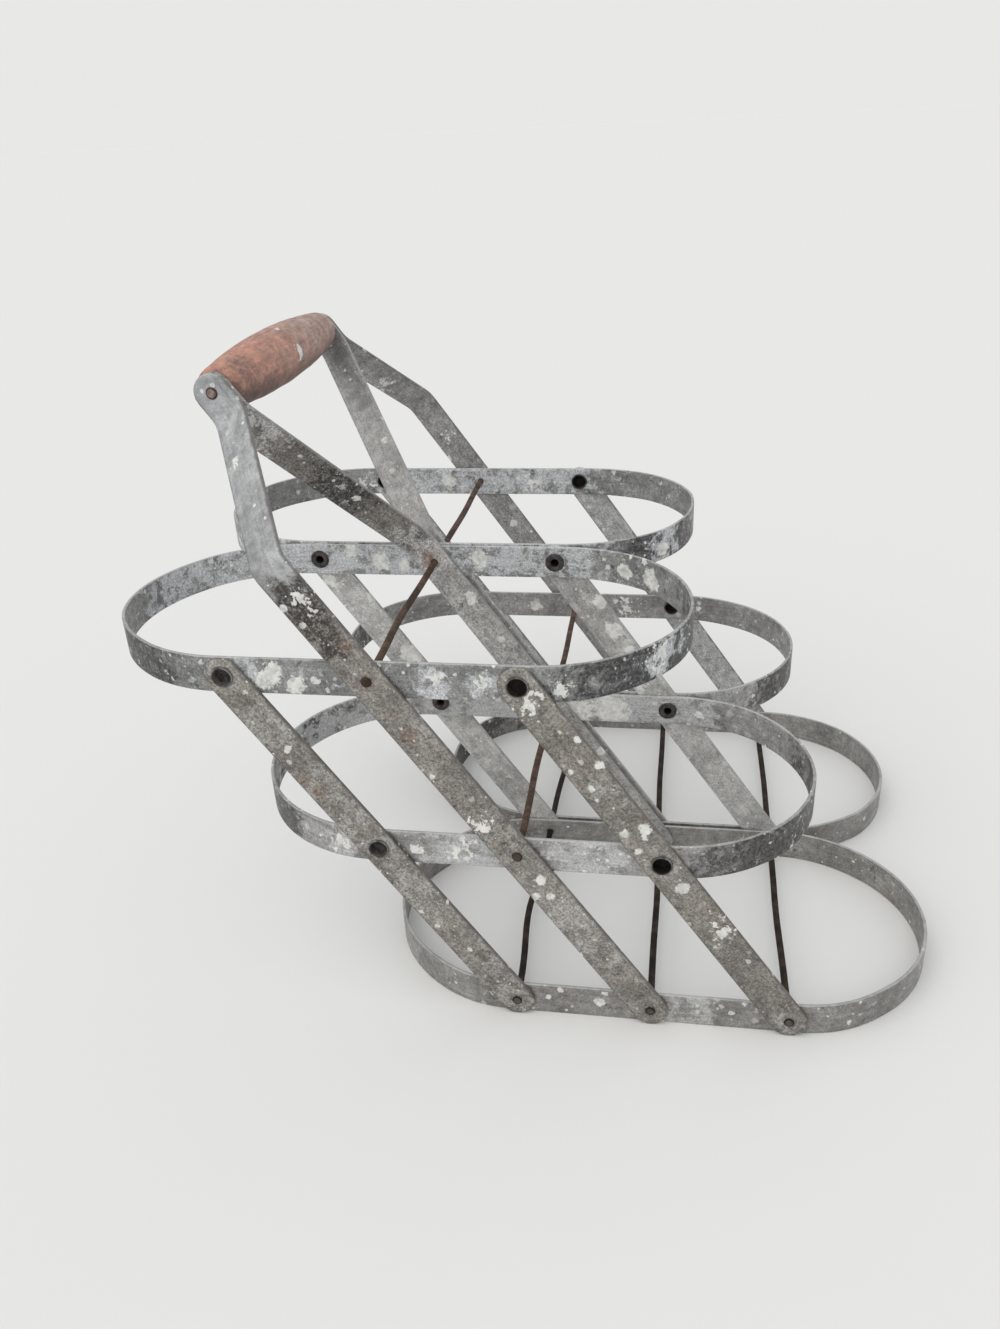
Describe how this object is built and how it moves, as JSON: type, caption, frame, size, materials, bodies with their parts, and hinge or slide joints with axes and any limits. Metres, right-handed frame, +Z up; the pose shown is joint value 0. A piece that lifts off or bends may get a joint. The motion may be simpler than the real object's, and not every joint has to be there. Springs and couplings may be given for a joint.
{
  "type": "bottle caddy",
  "caption": "Folding bottle caddy: rows of oval strip hoops on riveted straps that lean over and fold flat together, carried by a turned wooden grip on bent arms.",
  "frame": {"origin": "on the floor, under the centre of the middle tier, midway between the two rows", "axes": "+X along the hoops, away from the side the stack leans to; +Y from the front row to the back row; +Z up"},
  "size_m": [0.2888, 0.2066, 0.2222],
  "materials": {
    "strap_zinc": "weathered galvanised strip",
    "hoop_zinc": "weathered galvanised strip with white oxide",
    "rivet_steel": "dark rusted hollow rivet",
    "wire_rust": "brown rusted wire",
    "grip_wood": "worn reddish stain"
  },
  "bodies": {
    "bottom_tier": {"bottom_back_hoop": "hoop_zinc", "bottom_centre_wire": "wire_rust", "bottom_front_hoop": "hoop_zinc", "bottom_left_wire": "wire_rust", "bottom_right_wire": "wire_rust"},
    "centre_straps": {"back_handle_strap": "strap_zinc", "front_handle_strap": "strap_zinc", "handle_rod": "wire_rust", "inner_back_handle_strap": "strap_zinc", "inner_front_handle_strap": "strap_zinc"},
    "left_straps": {"back_left_strap": "strap_zinc", "front_left_strap": "strap_zinc", "inner_left_strap": "strap_zinc"},
    "right_straps": {"back_right_strap": "strap_zinc", "front_right_strap": "strap_zinc", "inner_right_strap": "strap_zinc"},
    "middle_tier": {"middle_back_hoop": "hoop_zinc", "middle_back_left_rivet": "rivet_steel", "middle_back_right_rivet": "rivet_steel", "middle_front_hoop": "hoop_zinc", "middle_front_left_rivet": "rivet_steel", "middle_front_right_rivet": "rivet_steel", "middle_inner_left_rivet": "rivet_steel", "middle_inner_right_rivet": "rivet_steel", "middle_wire": "wire_rust"},
    "top_tier": {"top_back_hoop": "hoop_zinc", "top_back_left_rivet": "rivet_steel", "top_back_right_rivet": "rivet_steel", "top_front_hoop": "hoop_zinc", "top_front_left_rivet": "rivet_steel", "top_front_right_rivet": "rivet_steel", "top_inner_left_rivet": "rivet_steel", "top_inner_right_rivet": "rivet_steel", "top_wire": "wire_rust"},
    "grip": {"handle_grip": "grip_wood"}
  },
  "joints": [
    {"name": "fold", "type": "hinge", "parent": "bottom_tier", "child": "centre_straps", "pos_m": [0.04445, 0, 0.00625], "axis": [0, 1, 0], "range_deg": [-38, 108]},
    {"name": "left_strap_turn", "type": "hinge", "parent": "bottom_tier", "child": "left_straps", "pos_m": [-0.00255, 0, 0.00625], "axis": [0, 1, 0], "range_deg": [-38, 108]},
    {"name": "right_strap_turn", "type": "hinge", "parent": "bottom_tier", "child": "right_straps", "pos_m": [0.09145, 0, 0.00625], "axis": [0, 1, 0], "range_deg": [-38, 108]},
    {"name": "middle_tier_turn", "type": "hinge", "parent": "centre_straps", "child": "middle_tier", "pos_m": [0, 0, 0.06973], "axis": [0, 1, 0], "range_deg": [-108, 38]},
    {"name": "top_tier_turn", "type": "hinge", "parent": "centre_straps", "child": "top_tier", "pos_m": [-0.04445, 0, 0.13322], "axis": [0, 1, 0], "range_deg": [-108, 38]},
    {"name": "grip_spin", "type": "hinge", "parent": "centre_straps", "child": "grip", "pos_m": [-0.09952, 0, 0.21186], "axis": [0, 1, 0], "continuous": true}
  ],
  "couplings": [
    {"joint": "left_strap_turn", "follows": "fold", "ratio": 1},
    {"joint": "right_strap_turn", "follows": "fold", "ratio": 1},
    {"joint": "middle_tier_turn", "follows": "fold", "ratio": -1},
    {"joint": "top_tier_turn", "follows": "fold", "ratio": -1}
  ]
}
